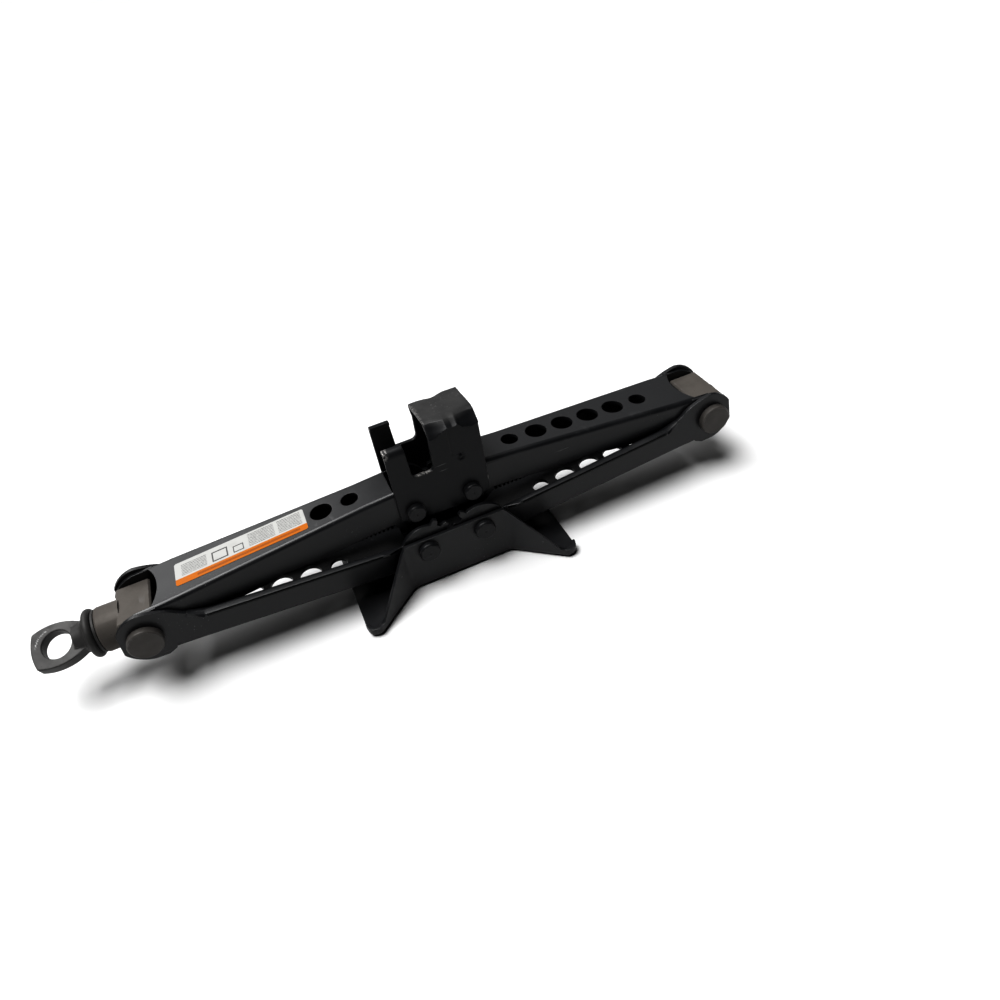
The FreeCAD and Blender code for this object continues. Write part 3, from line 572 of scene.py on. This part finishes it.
def hammered(point):
    """Where a point of the saddle goes: the horn was folded by hand, and never quite square."""
    x, y, z = (value / MM for value in point)
    if x > -4 and z > 103.5:
        if y < -CROWN:
            y, z = folded_over(x, y, z)
        # A dent in the far fold, a splayed far corner, a skewed top and uneven sheet.
        z -= 0.9 * math.exp(-((x - 15) / 4.5) ** 2) * step_up(y, 4, 15) * step_up(z, 100, 111)
        y += 0.8 * step_up(x, 17, 25) * step_up(y, 8, 15) * step_up(z, 104, 110)
        x -= 1.2 * step_up(y, -14, 17) * step_up(z, 100, 112)
        uneven = 0.3 * noise.noise((x / 9, y / 9, 3.0))
        z = min(HORN_TOP, z + uneven * step_up(z, 104, 110) - 0.1)
    if y < -16.6:
        # On the near plate: the crease, and the punch mark with its raised rim.
        if 86.5 < z < 107:
            y += 0.45 * max(0.0, 1 - abs(x - CREASE) / 0.9)
        distance = math.hypot(x - PUNCH[0], z - PUNCH[1])
        y += 0.8 * math.exp(-((distance - 1.9) / 0.75) ** 2)
        y -= 0.5 * math.exp(-(distance / 0.9) ** 2)
    return Vector((x, y, z)) * MM


def make_saddle(material):
    """The saddle bracket with its uneven folds, a crease and a punch mark."""
    shape = cleaned("saddle_bracket")
    round_off(shape, sharp_edges(shape), 0.45 * MM)
    slice_up(shape, 0, -3, 33, 1.2)
    slice_up(shape, 0, 10.9, 12.9, 0.4)
    slice_up(shape, 0, 13.7, 20.9, 0.6)
    slice_up(shape, 1, -17.5, 16, 0.9)
    slice_up(shape, 2, 103, 111.4, 0.4)
    slice_up(shape, 2, 80.3, 87.5, 0.6)
    for vert in shape.verts:
        vert.co = hammered(vert.co)
    put("saddle_bracket", shape, material)


def make_thread(material):
    """The screw's rolled thread, a right-hand helix about the screw's axis."""
    steps = 28               # in a turn
    profile = ((0.0, THREAD_ROOT), (0.30, THREAD_ROOT), (0.44, ROD), (0.86, ROD))
    sides = len(profile)
    count = int((THREAD_RIGHT - THREAD_LEFT) / THREAD_PITCH * steps)
    points = []
    for step in range(count):
        angle = 2 * math.pi * step / steps
        for offset, radius in profile:
            x = THREAD_LEFT + THREAD_PITCH * (step / steps + offset)
            points.append((x, radius * math.cos(angle), TRUNNION_Z + radius * math.sin(angle)))
    faces = []
    for step in range(count - 1):
        after = step + 1
        for side in range(sides):
            first = step * sides + side
            second = after * sides + side
            if side < sides - 1:
                faces.append((first, first + 1, second + 1, second))
            elif after + steps < count:
                # The last side closes onto the next turn of the helix.
                faces.append((first, (step + steps) * sides, (after + steps) * sides, second))
    mesh = bpy.data.meshes.new("screw_thread")
    mesh.from_pydata(points, [], faces)
    root = mesh.attributes.new("root", "FLOAT", "POINT")
    on_root = [1.0 if radius == THREAD_ROOT else 0.0 for _, radius in profile]
    root.data.foreach_set("value", on_root * count)
    smooth(mesh, 40)
    piece = bpy.data.objects.new("screw_thread", mesh)
    show(piece, "screw", "screw_steel", material)


def make_screw(plain, threaded):
    """The thread, and the screw's plain journal and tail on either side of it."""
    make_thread(threaded)
    for name, x, keep_low in (("screw_journal", JOURNAL_END, True),
                              ("screw_tail", TAIL_START, False)):
        shape = cleaned("lifting_screw")
        bisect(shape, (x, 0, 0), (1, 0, 0), clear_outer=keep_low, clear_inner=not keep_low)
        piece = bpy.data.objects.new(name, finished(shape, name))
        show(piece, "screw", "screw_steel", plain, "lifting_screw")


def make_eye(material):
    """The forged eye, softened, with a bright ring where the crank's hook has scraped it."""
    shape = cleaned("forged_eye")
    round_off(shape, sharp_edges(shape), 0.7 * MM, 3)
    slice_up(shape, 0, (-TRUNNION_X - 66 * MM) / MM, (-TRUNNION_X - 38 * MM) / MM, 0.7)
    slice_up(shape, 1, -14, 14, 0.7)
    mesh = put("forged_eye", shape, material).data
    centre = Vector((-TRUNNION_X - EYE_CENTRE, 0, TRUNNION_Z))
    turn = Vector((0, math.cos(EYE_TILT), math.sin(EYE_TILT)))
    worn = mesh.attributes.new("worn", "FLOAT", "POINT")
    values = []
    for vert in mesh.vertices:
        offset = vert.co - centre
        along, across = offset.x / MM, offset.dot(turn) / MM
        ring = step_up(-abs(math.hypot(along + 1.0, across) - SCRAPE_RADIUS), -0.45, -0.1)
        values.append(0.5 * ring * step_up(-along, 2, 6) * step_up(across, 1, 4))
    worn.data.foreach_set("value", values)


def make_label(material):
    """The sticker, with a UV map along and across it."""
    mesh = frame["nodes"]["warning_label"].data.copy()
    # Along the left upper arm from the saddle pin outwards, and across towards the far side.
    origin = Vector((-PIN_X, 0, SADDLE_PIN_Z))
    along = Vector((-math.cos(ARM_TILT), 0, -math.sin(ARM_TILT)))
    layer = mesh.uv_layers.new(name="layout")
    for loop in mesh.loops:
        point = mesh.vertices[loop.vertex_index].co - origin
        u = 1.0 - (point.dot(along) - LABEL_START) / LABEL_LENGTH
        v = (point.y + LABEL_HALF_WIDTH) / (2 * LABEL_HALF_WIDTH)
        layer.data[loop.index].uv = (u, v)
    piece = bpy.data.objects.new("warning_label_film", mesh)
    show(piece, "upper_arm_left", "label_film", material, "warning_label")


# ---------------------------------------------------------------- studio

def make_floor(material):
    reach = 60.0
    mesh = bpy.data.meshes.new("floor")
    corners = [(-reach, -reach, 0), (reach, -reach, 0), (reach, reach, 0), (-reach, reach, 0)]
    mesh.from_pydata(corners, [], [(0, 1, 2, 3)])
    mesh.materials.append(material)
    floor = bpy.data.objects.new("floor", mesh)
    bpy.context.scene.collection.objects.link(floor)


def hang(name, lamp, place, target=(0, 0, 0.05)):
    light = bpy.data.objects.new(name, lamp)
    light.location = place
    light.rotation_euler = (Vector(target) - Vector(place)).to_track_quat("-Z", "Y").to_euler()
    bpy.context.scene.collection.objects.link(light)


def make_key(name, place, strength, spread):
    """Overhead light, even over the whole floor."""
    lamp = bpy.data.lights.new(name, "SUN")
    lamp.energy = strength
    lamp.angle = math.radians(spread)
    hang(name, lamp, place)


def make_softbox(name, place, size, watts):
    lamp = bpy.data.lights.new(name, "AREA")
    lamp.shape = "RECTANGLE"
    lamp.size, lamp.size_y = size
    lamp.energy = watts
    hang(name, lamp, place)


def make_camera():
    lens = bpy.data.cameras.new("camera")
    lens.sensor_width = 36.0
    lens.lens = 28.75
    lens.shift_x = 0.0211
    lens.shift_y = -0.0491
    camera = bpy.data.objects.new("camera", lens)
    camera.location = (-0.0731, -0.4040, 0.3877)
    camera.rotation_euler = [math.radians(angle) for angle in (52.116, 9.166, -21.887)]
    bpy.context.scene.collection.objects.link(camera)
    bpy.context.scene.camera = camera


def make_world(horizon, overhead):
    """A studio that is white at floor level and darker overhead."""
    fade_start, fade_end = 0.02, 0.22    # height of the direction, as a sine
    world = bpy.data.worlds.new("studio")
    world.use_nodes = True
    tree = world.node_tree
    direction = tree.nodes.new("ShaderNodeTexCoord").outputs["Generated"]
    height = tree.nodes.new("ShaderNodeSeparateXYZ")
    tree.links.new(direction, height.inputs[0])
    fade = tree.nodes.new("ShaderNodeMapRange")
    fade.interpolation_type = "SMOOTHSTEP"
    for name, value in (("From Min", fade_start), ("From Max", fade_end),
                        ("To Min", horizon), ("To Max", overhead)):
        fade.inputs[name].default_value = value
    tree.links.new(height.outputs["Z"], fade.inputs["Value"])
    tree.links.new(fade.outputs["Result"], tree.nodes["Background"].inputs["Strength"])
    bpy.context.scene.world = world


make_camera()
make_world(horizon=1.0, overhead=0.12)
make_floor(floor_paint("floor_white"))
make_key("key_overhead", place=(-0.26, 0.06, 1.0), strength=5.4, spread=36)
make_softbox("softbox_left", place=(-0.62, 1.22, 1.04), size=(1.0, 0.9), watts=12.5)
make_softbox("softbox_right", place=(0.72, 1.22, 1.10), size=(1.0, 0.9), watts=3.6)
view = bpy.context.scene.view_settings
view.view_transform = "Standard"
view.gamma = 0.70            # raises the contrast, as in the photo

# Scraped patch on the left upper web, and streaks along the right one's bend.
web_scuffs = (((-0.077, -0.012, 0.070), (0.009, 0.011, 0.006), 0.9),
              ((0.120, -0.015, 0.066), (0.050, 0.005, 0.006), 0.12))
# Near tab's bare corners, the slot's floor, the horn's left edge and the plate's right edge.
saddle_wear = (((-0.029, -0.013, 0.103), (0.0035, 0.006, 0.006), 0.9),
               ((-0.008, -0.017, 0.0812), (0.007, 0.004, 0.0013), 0.9),
               ((-0.002, 0.0, 0.112), (0.0035, 0.020, 0.009), 0.35),
               ((0.0325, -0.018, 0.060), (0.0012, 0.003, 0.012), 0.5))
saddle_dust = (((0.015, 0.004, 0.113), (0.024, 0.028, 0.006)),)
arm_paint = black_paint("arm_paint_satin", roughness=0.36, gloss=0.44, scuffs=web_scuffs)
saddle_paint = black_paint("saddle_paint_satin", roughness=0.40, gloss=0.25,
                           worn=saddle_wear, dusty=saddle_dust)
base_paint = black_paint("base_paint_satin", roughness=0.42, gloss=0.44, wear=0.35)
rivet_paint = black_paint("rivet_paint_satin", roughness=0.42, gloss=0.32, wear=0.4)
block_steel = phosphated_steel("block_phosphate", dark=0.085, light=0.100, roughness=0.5,
                               metallic=0.1, warm=0.09, gloss=0.08)
pin_head_steel = phosphated_steel("pin_head_phosphate", dark=0.072, light=0.088, roughness=0.45,
                                  metallic=0.15, warm=0.07, gloss=0.3)
forged_steel = phosphated_steel("forged_eye_steel", dark=0.045, light=0.062, roughness=0.52,
                                metallic=0.2, warm=0.02, gloss=0.25)
screw_steel = thread_steel("thread_steel_grease_and_painted_shade")

for side in ("left", "right"):
    make_lower_arm("lower_arm_" + side, 1 if side == "right" else -1, arm_paint)
    pressed("upper_arm_" + side, arm_paint)
pressed("base_plate", base_paint)
make_saddle(saddle_paint)
for rivet in ("base_rivet_left", "base_rivet_right", "saddle_rivet_left", "saddle_rivet_right"):
    pressed(rivet, rivet_paint, 0.3 * MM)
for block in ("bearing_trunnion", "nut_trunnion"):
    pressed(block, block_steel, 0.3 * MM)
for pin in ("bearing_pin_near", "bearing_pin_far", "nut_pin_near", "nut_pin_far"):
    pressed(pin, pin_head_steel, 0.25 * MM)
pressed("bearing_bush", bronze("bearing_bronze"), 0.1 * MM)
for ring in ("thrust_washer", "stop_collar", "stop_pin"):
    pressed(ring, forged_steel, 0.15 * MM)
make_screw(forged_steel, screw_steel)
make_eye(forged_steel)
make_label(label_film("label_print"))

bpy.context.view_layer.update()
